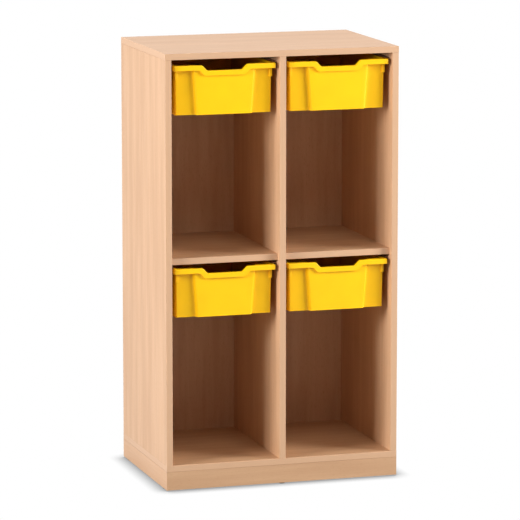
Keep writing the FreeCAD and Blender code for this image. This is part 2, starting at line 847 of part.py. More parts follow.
def make_trays_and_runners():
    for level, rim in rim_heights.items():
        for side, column in column_middles.items():
            make_tray(f"tray_{level}_{side}", column, rim)
            for end, way in (("left", RIGHT), ("right", LEFT)):
                make_runner(f"runner_{level}_{side}_{end}", column - way * pocket / 2, way, rim)
    make_runner_screws()


def check_document():
    """Stops the build if any object failed or any sub-part has no valid solid."""
    for obj in doc.Objects:
        if "Invalid" in obj.State or "Error" in obj.State:
            raise RuntimeError(f"{obj.Label} did not build: {obj.State}")
    for obj in nodes:
        if obj.Shape.isNull() or not obj.Shape.isValid() or not obj.Shape.Solids:
            raise RuntimeError(f"{obj.Label} has no valid solid")


def write_parts():
    os.makedirs("parts", exist_ok=True)
    for obj in nodes:
        obj.Shape.exportStep(f"parts/{obj.Label}.step")


make_cabinet()
make_trays_and_runners()
doc.recompute()
check_document()
write_parts()
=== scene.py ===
import math
from collections import namedtuple

import bmesh
import bpy
from bpy.props import FloatProperty, FloatVectorProperty, PointerProperty
from bpy.types import Operator, Panel, PropertyGroup
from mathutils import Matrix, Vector


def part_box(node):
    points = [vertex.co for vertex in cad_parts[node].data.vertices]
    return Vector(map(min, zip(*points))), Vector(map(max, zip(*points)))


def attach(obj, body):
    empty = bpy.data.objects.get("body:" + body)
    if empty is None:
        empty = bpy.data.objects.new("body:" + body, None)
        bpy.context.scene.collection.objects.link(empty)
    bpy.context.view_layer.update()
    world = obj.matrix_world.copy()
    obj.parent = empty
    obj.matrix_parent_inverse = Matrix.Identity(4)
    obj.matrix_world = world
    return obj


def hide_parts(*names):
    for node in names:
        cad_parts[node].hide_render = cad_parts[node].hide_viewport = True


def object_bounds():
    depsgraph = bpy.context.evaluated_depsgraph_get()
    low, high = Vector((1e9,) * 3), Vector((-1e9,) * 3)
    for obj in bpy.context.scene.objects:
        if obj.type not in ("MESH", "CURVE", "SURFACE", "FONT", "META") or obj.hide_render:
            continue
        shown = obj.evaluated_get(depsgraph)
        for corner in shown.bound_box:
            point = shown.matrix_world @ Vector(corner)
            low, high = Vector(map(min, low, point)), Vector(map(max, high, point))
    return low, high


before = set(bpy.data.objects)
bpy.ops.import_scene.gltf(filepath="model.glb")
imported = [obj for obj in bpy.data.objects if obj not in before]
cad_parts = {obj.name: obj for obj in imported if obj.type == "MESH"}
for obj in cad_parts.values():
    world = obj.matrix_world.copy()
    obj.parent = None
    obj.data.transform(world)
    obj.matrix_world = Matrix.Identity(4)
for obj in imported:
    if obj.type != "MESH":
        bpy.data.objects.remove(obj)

bl_info = {
    "name": "School bag shelf",
    "version": (1, 0, 0),
    "blender": (4, 5, 0),
    "location": "3D View > Sidebar > Bag shelf",
    "description": "Dresses a school bag shelf with beech boards, edge bands, yellow trays and fittings",
    "category": "Object",
}

MM = 0.001
AXES = "xyz"
CAD_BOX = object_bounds()
CABINET = "cabinet"
TRAYS = ("tray_upper_left", "tray_upper_right", "tray_lower_left", "tray_lower_right")
TRAY_LOW, TRAY_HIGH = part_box(TRAYS[0])
TRAY_WIDTH, TRAY_LENGTH, TRAY_HEIGHT = TRAY_HIGH - TRAY_LOW

# The boards and bands by the axis that their grain runs along
GRAIN_BOARDS = {
    "x": ("top_panel",),
    "y": ("plinth_left", "plinth_right"),
    "z": ("side_panel_left", "side_panel_right", "centre_divider", "back_panel"),
}
GRAIN_BANDS = {
    "x": (
        "top_band_front", "top_band_rear", "bottom_band_front", "bottom_band_rear",
        "shelf_left_band", "shelf_right_band",
    ),
    "y": ("top_band_left", "top_band_right", "bottom_band_left", "bottom_band_right"),
    "z": (
        "side_panel_left_band_front", "side_panel_left_band_rear", "side_panel_right_band_front",
        "side_panel_right_band_rear", "centre_divider_band",
    ),
}
# Boards whose darker print is painted shade: the floors of the pockets and the plinth's front and rear, all
# with their grain along x
PAINTED_SHADE_BOARDS = ("plinth_front", "plinth_rear", "bottom_panel", "shelf_left", "shelf_right")
SOLID_BEECH = ("plinth_corner_blocks", "top_dowels", "bottom_dowels", "shelf_dowels")
# The groups of screws by the axis that they run along
SCREWS = {"back_screws": "y", "plinth_screws": "z", "runner_screws": "x"}


# Sizes and colours


def linear(colour):
    """An sRGB hex colour as linear red, green and blue, by the curve of the sRGB standard."""
    shares = [int(colour[start:start + 2], 16) / 255 for start in (1, 3, 5)]
    return tuple(
        share / 12.92 if share <= 0.04045 else ((share + 0.055) / 1.055) ** 2.4 for share in shares
    )


def length(name, description, default):
    return FloatProperty(
        name=name, description=description, default=default, min=0, unit="LENGTH", precision=4
    )


def power(name, description, default):
    return FloatProperty(name=name, description=description, default=default, min=0, unit="POWER")


def fraction(name, description, default):
    return FloatProperty(
        name=name, description=description, default=default, min=0, max=1, subtype="FACTOR"
    )


def colour(name, description, default):
    return FloatVectorProperty(
        name=name, description=description, default=linear(default), min=0, max=1, subtype="COLOR"
    )


class BeechLook(PropertyGroup):
    light: colour("Light beech", "Pale ground of the beech print", "#CEA581")
    dark: colour("Dark beech", "Darker streaks of the beech print", "#C39975")
    fleck: colour("Fleck", "Short dark flecks that beech shows along its grain", "#A37345")
    band: colour("Edge band", "Plain beech-coloured edge band", "#C9A17F")
    # These two colours give a darker print that is painted shade on the pocket floors and on the plinth's
    # front and rear
    painted_shade_light: colour("Light, boards with painted shade", "Pale ground of the boards with painted shade", "#C8A07B")
    painted_shade_dark: colour("Dark, boards with painted shade", "Streaks of the boards with painted shade", "#B98F6B")
    level_spread: fraction("Level streaks", "Half the noise range from light to dark, level boards", 0.2)
    upright_spread: fraction("Upright streaks", "The same for upright boards, with more figure", 0.11)
    streak_width: length("Streak width", "Width of a streak across the grain", 40 * MM)
    streak_length: length("Streak length", "Length of a streak along the grain", 520 * MM)
    fibre_width: length("Fibre width", "Width of a line of fibres across the grain", 4 * MM)
    fibre_length: length("Fibre length", "Length of a line of fibres along the grain", 140 * MM)
    fleck_width: length("Fleck width", "Width of a fleck across the grain", 1.6 * MM)
    fleck_length: length("Fleck length", "Length of a fleck along the grain", 11 * MM)


class TrayLook(PropertyGroup):
    colour: colour("Tray", "Yellow of the moulded trays", "#FFC606")
    wall: length("Wall", "Wall thickness", 2 * MM)
    draft: length("Draft", "Narrowing of each wall from rim to floor", 2 * MM)
    corner: length("Corner", "Rounding of the upright corners", 4 * MM)
    least_corner: length("Least corner", "Rounding that is left in the corners of the floor", 0.6 * MM)
    rim_drop: length("Rim drop", "Height of the turned-down rim", 15 * MM)
    rim_side: length("Rim at the sides", "Overhang of the rim at the sides and the rear", 8 * MM)
    rim_front: length("Rim at the front", "Overhang of the rim ahead of the flanks", 18 * MM)
    rim_corner: length("Rim corner", "Rounding of the corners of the rim", 4 * MM)
    rim_edge: length("Rim edge", "Rounding of the upper outer edge of the rim", 2.2 * MM)
    under_edge: length("Under edge", "Rounding where a wall turns out under the rim", 1.2 * MM)
    mouth_edge: length("Mouth edge", "Rounding of the upper inner edge of the rim", 1.2 * MM)
    panel_forward: length("Panel forward", "Step of the raised panel ahead of the flanks", 11 * MM)
    panel_run: length("Panel slope", "Width of the slope at each side of the raised panel", 6 * MM)
    panel_top: length("Panel at the rim", "Width of the raised panel at the rim", 185 * MM)
    panel_foot: length("Panel at the foot", "Width of the raised panel at the foot", 162 * MM)
    panel_edge: length("Panel edge", "Rounding along the slopes of the raised panel", 2.5 * MM)
    notch_depth: length("Notch depth", "Depth of the finger notch", 16 * MM)
    notch_top: length("Notch at the top", "Width of the finger notch at the top", 138 * MM)
    notch_foot: length("Notch at its foot", "Width of the finger notch at its lowest stretch", 108 * MM)
    notch_spread: length("Notch spread", "Step outwards of the rim's lower edge beside the notch", 8 * MM)
    notch_edge: length("Notch edge", "Half of the stretch that each bend of the notch takes", 2.5 * MM)
    bead_height: length("Bead height", "Height of the bead round the foot", 3 * MM)
    bead_out: length("Bead step", "Step of the bead past the wall", 0.8 * MM)
    floor_edge: length("Floor edge", "Rounding between the walls and the floor", 5 * MM)
    tab_height: length("Tab height", "Height of the tabs under the front corners of the rim", 26 * MM)
    tab_width: length("Tab width", "Width of the tabs", 8 * MM)
    tab_depth: length("Tab depth", "Length of the tabs from front to rear", 6 * MM)
    tab_out: length("Tab step", "Step of the tabs out past the side walls", 0.5 * MM)
    tab_forward: length("Tab forward", "Step of the tabs ahead of the flanks", 4 * MM)
    tab_edge: length("Tab edge", "Rounding of the tabs", 0.8 * MM)


class FittingLook(PropertyGroup):
    runner: colour("Runner", "Brown of the tray runners", "#80583C")
    zinc: colour("Zinc", "Zinc plating of the screws", "#C6C9C8")
    glide: colour("Glide", "Grey of the floor glides", "#5A544D")
    head_height: length("Screw head", "Height of a screw head", 2 * MM)
    glide_edge: length("Glide edge", "Chamfer of a glide's lower edge", 0.8 * MM)


class StudioLook(PropertyGroup):
    floor: colour("Floor", "Pale studio floor", "#A6A6A6")
    shadow: length("Contact shadow", "Reach of the soft shadow round the foot", 50 * MM)
    least_white: fraction("Darkest floor", "Share of white that the darkest floor keeps", 0.37)
    left_power: power("Left", "Low soft box at the left", 294)
    rear_power: power("High rear", "High soft box behind", 146)
    right_power: power("Right", "Soft box at the right", 301)
    front_power: power("High front", "High soft box ahead", 50)
    lens: FloatProperty(name="Lens", description="Focal length", default=252.34, min=1, unit="CAMERA")


# Finishes

# The levels that noise mostly stays between, and its middle
NOISE_LOW, NOISE_MIDDLE, NOISE_HIGH = 0.3, 0.5, 0.7

# Width of the clouds in moulded plastic and in zinc, and the share of light that their deeper places keep
FLOW_CLOUD = 60 * MM
FLOW_DEEPER = 0.95
ZINC_CLOUD = 3 * MM
ZINC_DEEPER = 0.85

# How far the roughness of moulded plastic wanders to each side
GLOSS_PLAY = 0.04

# Sockets of a colour mix, which share their names with those of its other kinds
MIX_FACTOR, MIX_FIRST, MIX_SECOND, MIX_RESULT = 0, 6, 7, 2

# A colour laid over a finish where a noise is high: none below the start, its whole share from full on
Layer = namedtuple("Layer", "noise start full share shade")


def add(tree, kind, sockets=None, **settings):
    """Adds a node with its settings. Each named socket gets a value, or a link from a socket or a
    node's first output, and a list gives it several links."""
    made = tree.nodes.new(kind)
    for name, value in settings.items():
        setattr(made, name, value)
    for name, value in (sockets or {}).items():
        for entry in value if isinstance(value, list) else [value]:
            source = entry.outputs[0] if isinstance(entry, bpy.types.Node) else entry
            if isinstance(source, bpy.types.NodeSocket):
                tree.links.new(source, made.inputs[name])
            else:
                made.inputs[name].default_value = source
    return made


def empty_tree(owner):
    """The node tree of a material or a world, with nothing in it."""
    owner.use_nodes = True
    owner.node_tree.nodes.clear()
    return owner.node_tree


def coat(tree, sockets):
    """Ends a material's tree in a surface with these values and links."""
    surface = add(tree, "ShaderNodeBsdfPrincipled", sockets)
    add(tree, "ShaderNodeOutputMaterial", {"Surface": surface})


def opaque(shade):
    return (*shade, 1)


def stretched_noise(tree, grain, across, along, detail, roughness=0.5):
    """Noise drawn out along the grain: so wide across it and so long along it, in metres."""
    place = add(tree, "ShaderNodeTexCoord").outputs["Object"]
    scale = tuple(1 / (along if axis == grain else across) for axis in AXES)
    fitted = add(tree, "ShaderNodeMapping", {"Vector": place, "Scale": scale})
    return add(
        tree, "ShaderNodeTexNoise",
        {"Vector": fitted, "Scale": 1, "Detail": detail, "Roughness": roughness},
    )


def layered(tree, ground, *layers):
    """A ground colour with the shades of some layers over it, the last one on top."""
    shade = opaque(ground)
    for layer in layers:
        cover = add(
            tree, "ShaderNodeMapRange",
            {"Value": layer.noise, "From Min": layer.start, "From Max": layer.full,
             "To Max": layer.share},
        )
        laid = add(
            tree, "ShaderNodeMix",
            {MIX_FACTOR: cover, MIX_FIRST: shade, MIX_SECOND: opaque(layer.shade)}, data_type="RGBA",
        )
        shade = laid.outputs[MIX_RESULT]
    return shade


def beech_board(name, grain, light, dark, spread, look):
    """Melamine board with a beech print: soft long streaks, fine lines of fibre and short dark flecks,
    under a hard satin film that is faintly pressed with the grain. The flecks are drawn about twice as
    large as real ones, so that they show."""
    material = bpy.data.materials.new(name)
    tree = empty_tree(material)
    streak = stretched_noise(tree, grain, look.streak_width, look.streak_length, detail=3, roughness=0.6)
    fibre = stretched_noise(tree, grain, look.fibre_width, look.fibre_length, detail=3)
    speck = stretched_noise(tree, grain, look.fleck_width, look.fleck_length, detail=1)
    print_shade = layered(
        tree, light,
        Layer(streak, start=NOISE_MIDDLE - spread, full=NOISE_MIDDLE + spread, share=1, shade=dark),
        Layer(fibre, start=0.45, full=0.75, share=0.4, shade=dark),
        Layer(speck, start=0.6, full=0.75, share=0.35, shade=look.fleck),
    )
    satin = add(
        tree, "ShaderNodeMapRange",
        {"Value": fibre, "From Min": NOISE_LOW, "From Max": NOISE_HIGH, "To Min": 0.4, "To Max": 0.52},
    )
    pressed = add(tree, "ShaderNodeBump", {"Height": speck, "Strength": 0.15, "Distance": 0.1 * MM})
    coat(tree, {"Base Color": print_shade, "Roughness": satin, "Normal": pressed})
    return material


def edge_band(name, grain, look):
    """Beech-coloured ABS band: plainer than the board, with faint streaks along it and a satin face."""
    material = bpy.data.materials.new(name)
    tree = empty_tree(material)
    streak = stretched_noise(tree, grain, look.fibre_width, look.streak_length, detail=2)
    tinted = layered(tree, look.band, Layer(streak, start=0.35, full=0.7, share=0.5, shade=look.light))
    coat(tree, {"Base Color": tinted, "Roughness": 0.42})
    return material


def solid_beech(look):
    """Planed solid beech: the same tones as the print, matt and open-pored."""
    material = bpy.data.materials.new("Solid beech, planed")
    tree = empty_tree(material)
    fibre = stretched_noise(tree, "z", look.fibre_width, look.fibre_length, detail=3)
    speck = stretched_noise(tree, "z", look.fleck_width, look.fleck_length, detail=1)
    planed = layered(
        tree, look.light,
        Layer(fibre, start=NOISE_LOW, full=NOISE_HIGH, share=1, shade=look.dark),
        Layer(speck, start=0.55, full=0.7, share=0.5, shade=look.fleck),
    )
    coat(tree, {"Base Color": planed, "Roughness": 0.62})
    return material


def moulded_plastic(name, shade, roughness, grit):
    """Moulded or extruded plastic: one colour right through with faint clouds where it flowed, a soft
    gloss, and the fine grit of the tool's skin."""
    material = bpy.data.materials.new(name)
    tree = empty_tree(material)
    grain = stretched_noise(tree, "z", grit, grit, detail=2)
    cloud = stretched_noise(tree, "z", FLOW_CLOUD, FLOW_CLOUD, detail=2)
    deeper = [part * FLOW_DEEPER for part in shade]
    clouds = Layer(cloud, start=NOISE_LOW, full=NOISE_HIGH, share=1, shade=deeper)
    clouded = layered(tree, shade, clouds)
    gloss = add(
        tree, "ShaderNodeMapRange",
        {"Value": grain, "From Min": NOISE_LOW, "From Max": NOISE_HIGH,
         "To Min": roughness - GLOSS_PLAY, "To Max": roughness + GLOSS_PLAY},
    )
    skin = add(tree, "ShaderNodeBump", {"Height": grain, "Strength": 0.2, "Distance": 0.02 * MM})
    coat(tree, {"Base Color": clouded, "Roughness": gloss, "Normal": skin, "Specular IOR Level": 0.3})
    return material


def zinc_plate(look):
    """Bright zinc on steel: a pale metal with a soft, slightly uneven sheen."""
    material = bpy.data.materials.new("Zinc plated steel")
    tree = empty_tree(material)
    cloud = stretched_noise(tree, "z", ZINC_CLOUD, ZINC_CLOUD, detail=2)
    deeper = [part * ZINC_DEEPER for part in look.zinc]
    clouds = Layer(cloud, start=NOISE_LOW, full=NOISE_HIGH, share=1, shade=deeper)
    clouded = layered(tree, look.zinc, clouds)
    sheen = add(
        tree, "ShaderNodeMapRange",
        {"Value": cloud, "From Min": NOISE_LOW, "From Max": NOISE_HIGH, "To Min": 0.22, "To Max": 0.38},
    )
    coat(tree, {"Base Color": clouded, "Roughness": sheen, "Metallic": 1})
    return material


def paint(nodes, material):
    """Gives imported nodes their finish."""
    for node in nodes:
        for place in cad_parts[node].material_slots:
            place.material = material


def new_piece(name, mesh, body, slot, *nodes):
    """Adds a finished mesh that moves with a body and stands for the given nodes."""
    piece = bpy.data.objects.new(name, mesh)
    bpy.context.scene.collection.objects.link(piece)
    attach(piece, body)
    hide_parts(*nodes)


# Trays

# Steps of the roundings: upright corners, slopes of the raised panel, fine edges, mouth and broad edges
CORNER_STEPS = 8
PANEL_STEPS = 4
FINE_STEPS = 3
MOUTH_STEPS = 4
BROAD_STEPS = 5

# Where the points over a bend of the notch lie, and the samples that soften it, over half its stretch
BEND_POINTS = [step / 2 for step in range(-2, 3)]
BEND_SAMPLES = [step / 4 for step in range(-4, 5)]

# Heights of the rings on each straight face, as shares of it, with some near its ends that keep it flat
WALL_SHARES = (0.04, 0.35, 0.65, 0.96, 1)
RIM_BACK_SHARES = (0, 0.5, 0.9)
RIM_FACE_SHARES = (0, 0.5, 0.95)
INSIDE_SHARES = (0.05, 0.3, 0.6, 0.95)

# Least share of its depth that the hollow under the rim keeps, which is at the raised panel
LEAST_HOLLOW = 0.02

# The wall is so many times as thick as the rounding of the rim's lower edges
WALL_OVER_LIP = 3

# Turn in radians below which a corner counts as straight, and digits of a metre that tell points apart
STRAIGHT_TURN = 0.01
POINT_DIGITS = 6

TRAY_SHARP = math.radians(50)


def corner_arc(before, corner, after, radius, steps):
    """Points of the arc that rounds a corner; a straight one gets points as far along as its radius."""
    back = (before - corner).normalized()
    ahead = (after - corner).normalized()
    turn = math.pi - back.angle(ahead)
    reach = radius * math.tan(turn / 2) if turn > STRAIGHT_TURN else radius
    start = corner + back * reach
    end = corner + ahead * reach
    points = []
    for step in range(steps + 1):
        share = step / steps
        weights = ((1 - share) ** 2, 2 * math.cos(turn / 2) * share * (1 - share), share ** 2)
        points.append((start * weights[0] + corner * weights[1] + end * weights[2]) / sum(weights))
    return points


def rounded_plan(corners, runs):
    """Points of a plan with rounded corners; a run gives the shares along the side after it."""
    count = len(corners)
    places = [Vector((x, y)) for x, y, radius, steps in corners]
    arcs = [
        corner_arc(places[index - 1], places[index], places[(index + 1) % count], radius, steps)
        for index, (x, y, radius, steps) in enumerate(corners)
    ]
    points = []
    for index, arc in enumerate(arcs):
        following = arcs[(index + 1) % count][0]
        points += arc
        points += [arc[-1].lerp(following, share) for share in runs[index]]
    return points


def even_shares(parts):
    return [step / parts for step in range(1, parts)]


def tray_runs(look):
    """The shares along each straight of a tray's plan, close together at the bends of the notch."""
    half = look.panel_top / 2
    foot, top = look.notch_foot / 2, look.notch_top / 2
    bends = (foot, top, foot + look.notch_spread, top + look.notch_spread)
    steps = [place * look.notch_edge for place in BEND_POINTS]
    distances = sorted({round(bend + step, POINT_DIGITS) for bend in bends for step in steps})
    across = sorted([-distance for distance in distances] + [0.0] + distances)
    panel = [(x + half) / (2 * half) for x in across if abs(x) < half - 2 * look.panel_edge]
    flank = even_shares(parts=4)
    slope = even_shares(parts=2)
    side = even_shares(parts=10)
    return [flank, slope, panel, slope, flank, side, side, side]


def tray_plan(look, half, front, slope, panel, raised, rear, turn, edge):
    """A tray's plan from half its width, the flanks' front, the raised panel's half widths and front, and
    the rear, with one radius for the upright corners and one for the panel's edges."""
    corners = [
        (-half, front, turn, CORNER_STEPS),
        (-slope, front, edge, PANEL_STEPS),
        (-panel, raised, edge, PANEL_STEPS),
        (panel, raised, edge, PANEL_STEPS),
        (slope, front, edge, PANEL_STEPS),
        (half, front, turn, CORNER_STEPS),
        (half, rear, turn, CORNER_STEPS),
        (-half, rear, turn, CORNER_STEPS),
    ]
    return rounded_plan(corners, tray_runs(look))


def wall_plan(look, level, inset):
    """The plan of a tray's walls at its rim or foot, set in from the outer face."""
    draft = look.draft if level == "foot" else 0
    panel = (look.panel_foot if level == "foot" else look.panel_top) / 2 - inset / 2
    front = look.rim_front + draft + inset
    return tray_plan(
        look,
        half=TRAY_WIDTH / 2 - look.rim_side - draft - inset,
        front=front,
        slope=panel + look.panel_run,
        panel=panel,
        raised=front - look.panel_forward,
        rear=TRAY_LENGTH - look.rim_side - draft - inset,
        turn=max(look.corner - inset, look.least_corner),
        edge=look.panel_edge,
    )


def rim_plan(look, inset):
    """The plan of the rim's outer face, set in by so much, with a point for each point of the walls."""
    panel = look.panel_top / 2
    return tray_plan(
        look,
        half=TRAY_WIDTH / 2 - inset,
        front=inset,
        slope=panel + look.panel_run,
        panel=panel,
        raised=inset,
        rear=TRAY_LENGTH - inset,
        turn=look.rim_corner - inset,
        edge=look.panel_edge / 2,
    )


def dip(x, inner, outer, edge):
    """One between the inner ends and nothing past the outer ends, with a straight slope and softened
    bends in between."""
    samples = [x + edge * place for place in BEND_SAMPLES]
    shares = [min(max((outer - abs(sample)) / (outer - inner), 0), 1) for sample in samples]
    return sum(shares) / len(shares)


def quarter(steps):
    """Sine and cosine along a quarter turn."""
    turns = [math.pi / 2 * step / steps for step in range(steps + 1)]
    return [(math.sin(turn), math.cos(turn)) for turn in turns]


def tray_rings(look):
    """The rings of points that a tray's skin follows, from under its foot, over its rim and down inside."""
    rim_level = wall_plan(look, "rim", 0)
    front_end = look.rim_front + look.corner
    on_front = [point.y < front_end and abs(point.x) < look.panel_top / 2 for point in rim_level]

    def notched(height, spread):
        inner, outer = look.notch_foot / 2 + spread, look.notch_top / 2 + spread
        return [
            height - look.notch_depth * dip(point.x, inner, outer, look.notch_edge) * front
            for point, front in zip(rim_level, on_front)
        ]

    def wall_ring(inset, heights):
        foot_level = wall_plan(look, "foot", inset)
        brim_level = wall_plan(look, "rim", inset)
        return [
            (*foot.lerp(brim, height / TRAY_HEIGHT), height)
            for foot, brim, height in zip(foot_level, brim_level, heights)
        ]

    def rim_ring(inset, heights):
        return [(*point, height) for point, height in zip(rim_plan(look, inset), heights)]

    def level(height):
        return [height] * len(rim_level)

    def part_way(start, end, share):
        return [a + (b - a) * share for a, b in zip(start, end)]

    # The rim's top and lower edge, and how far up the hollow behind it reaches
    top = notched(TRAY_HEIGHT, 0)
    low = notched(TRAY_HEIGHT - look.rim_drop, look.notch_spread)
    wall = look.wall
    raised = look.rim_front - look.panel_forward
    hollow = [min(max((point.y - raised) / look.panel_forward, LEAST_HOLLOW), 1) for point in rim_level]
    under = [start + (end - wall - start) * share for start, end, share in zip(low, top, hollow)]

    # The bead round the foot
    out, tall = look.bead_out, look.bead_height
    fine = quarter(FINE_STEPS)
    rings = [wall_ring(out * (1 - 2 * sine), level(out * (1 - cosine))) for sine, cosine in fine]
    rings += [wall_ring(-out * cosine, level(tall - out + out * sine)) for sine, cosine in fine]

    # Up the outside of the walls and out under the rim
    bend = look.under_edge
    wall_top = [height - bend for height in under]
    rings += [wall_ring(0, part_way(level(tall), wall_top, share)) for share in WALL_SHARES]
    rings += [
        wall_ring(-bend * (1 - cosine), [height + bend * sine for height in wall_top])
        for sine, cosine in fine[1:]
    ]

    # Down the back of the rim, round its lower edge and up its face
    rings += [rim_ring(wall, part_way(under, low, share)) for share in RIM_BACK_SHARES]
    lip = wall / WALL_OVER_LIP
    rings.append(rim_ring(wall - lip, low))
    rings += [
        rim_ring(lip * (1 - sine), [height + lip * (1 - cosine) for height in low])
        for sine, cosine in fine
    ]
    brow = look.rim_edge
    face_low = [height + 2 * lip for height in low]
    face_top = [height - brow for height in top]
    rings += [rim_ring(0, part_way(face_low, face_top, share)) for share in RIM_FACE_SHARES]

    # Over the rim, down the inside of the walls and into the floor
    rings += [
        rim_ring(brow * (1 - cosine), [height + brow * sine for height in face_top])
        for sine, cosine in quarter(BROAD_STEPS)
    ]
    mouth = look.mouth_edge
    rings += [
        wall_ring(wall - mouth * (1 - sine), [height - mouth * (1 - cosine) for height in top])
        for sine, cosine in quarter(MOUTH_STEPS)
    ]
    heel = look.floor_edge
    inner_top = [height - mouth for height in top]
    inner_foot = level(wall + heel)
    rings += [wall_ring(wall, part_way(inner_top, inner_foot, share)) for share in INSIDE_SHARES]
    rings += [
        wall_ring(wall + heel * (1 - cosine), level(wall + heel * (1 - sine)))
        for sine, cosine in quarter(BROAD_STEPS)
    ]
    return rings


def add_tab(shape, look, way, corner):
    """A rounded tab under a front corner of the rim; the way is -1 at the left and 1 at the right."""
    outer = TRAY_WIDTH / 2 - look.rim_side + look.tab_out
    front = look.rim_front - look.tab_forward
    size = Vector((look.tab_width, look.tab_depth, look.tab_height))
    middle = Vector((
        way * (outer - look.tab_width / 2),
        front + look.tab_depth / 2,
        TRAY_HEIGHT - look.rim_drop - look.tab_height / 2,
    ))
    made = bmesh.ops.create_cube(shape, size=1)["verts"]
    for vertex in made:
        vertex.co = corner + middle + Vector(a * b for a, b in zip(vertex.co, size))
    edges = {edge for vertex in made for edge in vertex.link_edges}
    bmesh.ops.bevel(
        shape, geom=list(edges), offset=look.tab_edge, offset_type="OFFSET", segments=FINE_STEPS,
        profile=0.5, affect="EDGES",
    )


def tray_mesh(name, corner, look):
    """A tray's closed skin with its tabs; the corner is the middle of its front, at its foot."""
    shape = bmesh.new()
    rings = [[shape.verts.new(corner + Vector(point)) for point in ring] for ring in tray_rings(look)]
    for lower, upper in zip(rings, rings[1:]):
        for index in range(len(lower)):
            after = (index + 1) % len(lower)
            shape.faces.new((lower[index], lower[after], upper[after], upper[index]))
    flats = [shape.faces.new(reversed(rings[0])), shape.faces.new(rings[-1])]
    bmesh.ops.poke(shape, faces=flats, center_mode="BOUNDS")
    for way in (-1, 1):
        add_tab(shape, look, way, corner)
    mesh = bpy.data.meshes.new(name)
    shape.to_mesh(mesh)
    shape.free()
    mesh.shade_smooth()
    mesh.set_sharp_from_angle(angle=TRAY_SHARP)
    return mesh


# Screws and glides

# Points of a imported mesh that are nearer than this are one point
SAME_POINT = 0.01 * MM

# Name of the attribute that says which way a seat looks
WAY = "way"

# Sides of the round forms
HEAD_SIDES = 24
HEAD_RINGS = 16
SHANK_SIDES = 16
GLIDE_SIDES = 40
PIN_SIDES = 12

# Length and width of an arm of the cross recess over the head's radius, and its middle over the height
RECESS_LONG = 1.05
RECESS_WIDE = 0.24
RECESS_MIDDLE = 0.85

# Length of a screw's point over the shank's radius, and the radius of its blunt tip
POINT_LONG = 2
TIP_RADIUS = 0.2 * MM

# Side of the block that keeps the upper half of a head, over the head's radius
BLOCK_SIDE = 4

FITTING_SHARP = math.radians(35)


def solid_points(node):
    """The points of each separate solid of a packed group, in the order of the group's mesh."""
    shape = bmesh.new()
    shape.from_mesh(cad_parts[node].data)
    bmesh.ops.remove_doubles(shape, verts=shape.verts, dist=SAME_POINT)
    taken = set()
    solids = []
    for first in shape.verts:
        if first in taken:
            continue
        taken.add(first)
        found = [first]
        for vertex in found:
            for edge in vertex.link_edges:
                other = edge.other_vert(vertex)
                if other not in taken:
                    taken.add(other)
                    found.append(other)
        solids.append([vertex.co.copy() for vertex in found])
    shape.free()
    return solids


def box_of(points):
    """The low and the high corner of the box round some points."""
    low = Vector(min(point[index] for point in points) for index in range(3))
    high = Vector(max(point[index] for point in points) for index in range(3))
    return low, high


def screw_facts(points, axis, head_height):
    """A screw's seat, the way its head looks, the radius of head and shank, and the shank's length."""
    along = AXES.index(axis)
    others = [index for index in range(3) if index != along]
    low, high = box_of(points)
    middle = (low + high) / 2

    def radius(end):
        return max(
            abs(point[other] - middle[other])
            for point in points if abs(point[along] - end) < head_height / 2 for other in others
        )

    ends = (low[along], high[along])
    way = 1 if radius(ends[1]) > radius(ends[0]) else -1
    head_end, tip = (ends[1], ends[0]) if way > 0 else ends
    seat = middle.copy()
    seat[along] = head_end - way * head_height
    looks = Vector((0, 0, 0))
    looks[along] = way
    return seat, looks, radius(head_end), radius(tip), abs(seat[along] - tip)


def new_tree(name, sizes):
    """A geometry tree that takes seats, these sizes and a material, and the sockets that give them."""
    tree = bpy.data.node_groups.new(name, "GeometryNodeTree")
    tree.interface.new_socket("Seats", in_out="INPUT", socket_type="NodeSocketGeometry")
    for size in sizes:
        tree.interface.new_socket(size, in_out="INPUT", socket_type="NodeSocketFloat")
    tree.interface.new_socket("Material", in_out="INPUT", socket_type="NodeSocketMaterial")
    tree.interface.new_socket("Pieces", in_out="OUTPUT", socket_type="NodeSocketGeometry")
    return tree, add(tree, "NodeGroupInput").outputs


def raised(tree, shape, size, times, **more):
    """A shape moved up by so many times a size."""
    height = add(tree, "ShaderNodeMath", {0: size, 1: times}, operation="MULTIPLY")
    place = add(tree, "ShaderNodeCombineXYZ", {"Z": height})
    return add(tree, "GeometryNodeTransform", {"Geometry": shape, "Translation": place, **more})


def end_tree(tree, given, shapes):
    """Joins the shapes, sets the whole on each seat, looking the seat's way, and gives it its material."""
    joined = add(tree, "GeometryNodeMeshBoolean", {"Mesh 2": shapes}, operation="UNION", solver="EXACT")
    way = add(tree, "GeometryNodeInputNamedAttribute", {"Name": WAY}, data_type="FLOAT_VECTOR")
    turn = add(tree, "FunctionNodeAlignRotationToVector", {"Vector": way.outputs["Attribute"]}, axis="Z")
    placed = add(
        tree, "GeometryNodeInstanceOnPoints",
        {"Points": given["Seats"], "Instance": joined, "Rotation": turn},
    )
    real = add(tree, "GeometryNodeRealizeInstances", {"Geometry": placed})
    dressed = add(tree, "GeometryNodeSetMaterial", {"Geometry": real, "Material": given["Material"]})
    add(tree, "NodeGroupOutput", {"Pieces": dressed})


